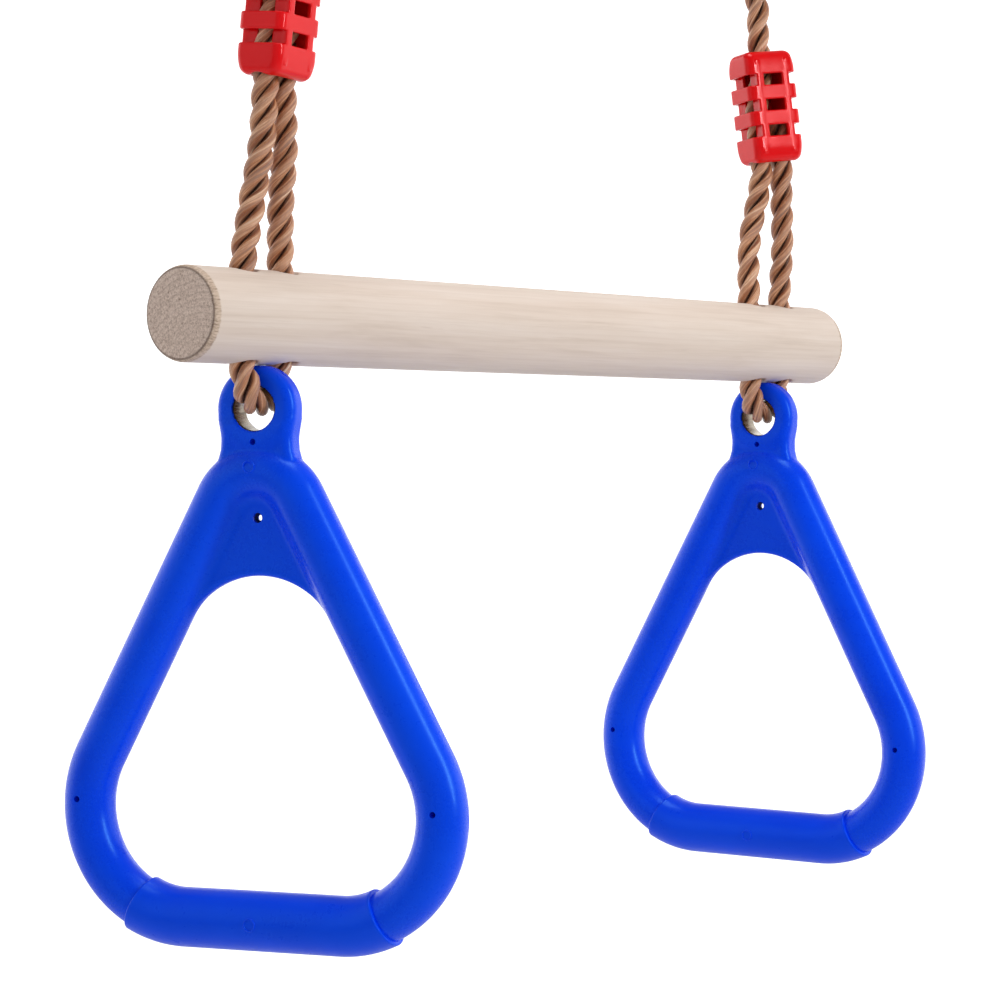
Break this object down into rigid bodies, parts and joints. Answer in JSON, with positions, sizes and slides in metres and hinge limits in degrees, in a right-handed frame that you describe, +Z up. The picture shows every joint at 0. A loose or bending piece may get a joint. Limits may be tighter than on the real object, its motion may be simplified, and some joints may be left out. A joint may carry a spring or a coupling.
{
  "type": "trapeze bar with gym rings",
  "caption": "Round wooden trapeze bar hung on twisted ropes with sliding length adjusters; a triangular moulded gym ring hangs from the rope loop under each end.",
  "frame": {"origin": "midway between the two places where the steel hanging rings rest on their hooks (the inner top of each ring's wire)", "axes": "+Z up, against gravity; X along the wooden bar; Y the direction the whole thing swings in"},
  "size_m": [0.42, 0.1642, 0.4978],
  "materials": {
    "beech_bar": "sanded, unvarnished",
    "twisted_rope": "satin three-strand polypropylene",
    "red_plastic": "glossy moulded",
    "blue_plastic": "glossy moulded",
    "blue_grip": "glossy moulded",
    "bush_steel": "plain",
    "ring_steel": "bright zinc plate",
    "thimble_plastic": "matt",
    "ferrule_aluminium": "pressed, satin"
  },
  "bodies": {
    "hangers": {"hanger_ring_left": "ring_steel", "hanger_ring_right": "ring_steel"},
    "rope_tops": {"rope_standing_left": "twisted_rope", "rope_standing_right": "twisted_rope", "thimble_left": "thimble_plastic", "thimble_right": "thimble_plastic", "ferrule_left": "ferrule_aluminium", "ferrule_right": "ferrule_aluminium"},
    "rope_legs": {"rope_tail_left": "twisted_rope", "rope_tail_right": "twisted_rope"},
    "adjuster_left": {"adjuster_left": "red_plastic"},
    "adjuster_right": {"adjuster_right": "red_plastic"},
    "bar": {"wood_bar": "beech_bar"},
    "loop_left": {"rope_bight_left": "twisted_rope"},
    "loop_right": {"rope_bight_right": "twisted_rope"},
    "ring_left": {"ring_body_left": "blue_plastic", "grip_sleeve_left": "blue_grip", "eye_bush_left": "bush_steel"},
    "ring_right": {"ring_body_right": "blue_plastic", "grip_sleeve_right": "blue_grip", "eye_bush_right": "bush_steel"}
  },
  "joints": [
    {"name": "swing", "type": "hinge", "parent": "hangers", "child": "rope_tops", "pos_m": [0, 0, -0.0414], "axis": [1, 0, 0], "range_deg": [-60, 60]},
    {"name": "height", "type": "slide", "parent": "rope_tops", "child": "rope_legs", "axis": [0, 0, -1], "range_m": [-0.01, 0.03], "deforming": ["rope_standing_left", "rope_standing_right", "rope_tail_left", "rope_tail_right"]},
    {"name": "adjuster_left_slide", "type": "slide", "parent": "rope_legs", "child": "adjuster_left", "axis": [0, 0, -1], "range_m": [-0.01, 0.03]},
    {"name": "adjuster_right_slide", "type": "slide", "parent": "rope_legs", "child": "adjuster_right", "axis": [0, 0, -1], "range_m": [-0.01, 0.03]},
    {"name": "bar_lift", "type": "slide", "parent": "rope_legs", "child": "bar", "axis": [0, 0, 1], "range_m": [0, 0.012]},
    {"name": "ring_twist_left", "type": "hinge", "parent": "rope_legs", "child": "loop_left", "pos_m": [-0.17, 0, -0.2915], "axis": [0, 0, 1], "range_deg": [-60, 30], "deforming": ["rope_bight_left"]},
    {"name": "ring_twist_right", "type": "hinge", "parent": "rope_legs", "child": "loop_right", "pos_m": [0.17, 0, -0.2915], "axis": [0, 0, 1], "range_deg": [-49, 41], "deforming": ["rope_bight_right"]},
    {"name": "ring_tilt_left", "type": "hinge", "parent": "loop_left", "child": "ring_left", "pos_m": [-0.17, 0, -0.2915], "axis": [0.9668, 0.2554, 0], "range_deg": [-55, 55]},
    {"name": "ring_tilt_right", "type": "hinge", "parent": "loop_right", "child": "ring_right", "pos_m": [0.17, 0, -0.2915], "axis": [0.998, 0.0628, 0], "range_deg": [-55, 55]}
  ],
  "couplings": [
    {"joint": "adjuster_left_slide", "follows": "height", "ratio": 1},
    {"joint": "adjuster_right_slide", "follows": "height", "ratio": 1}
  ]
}
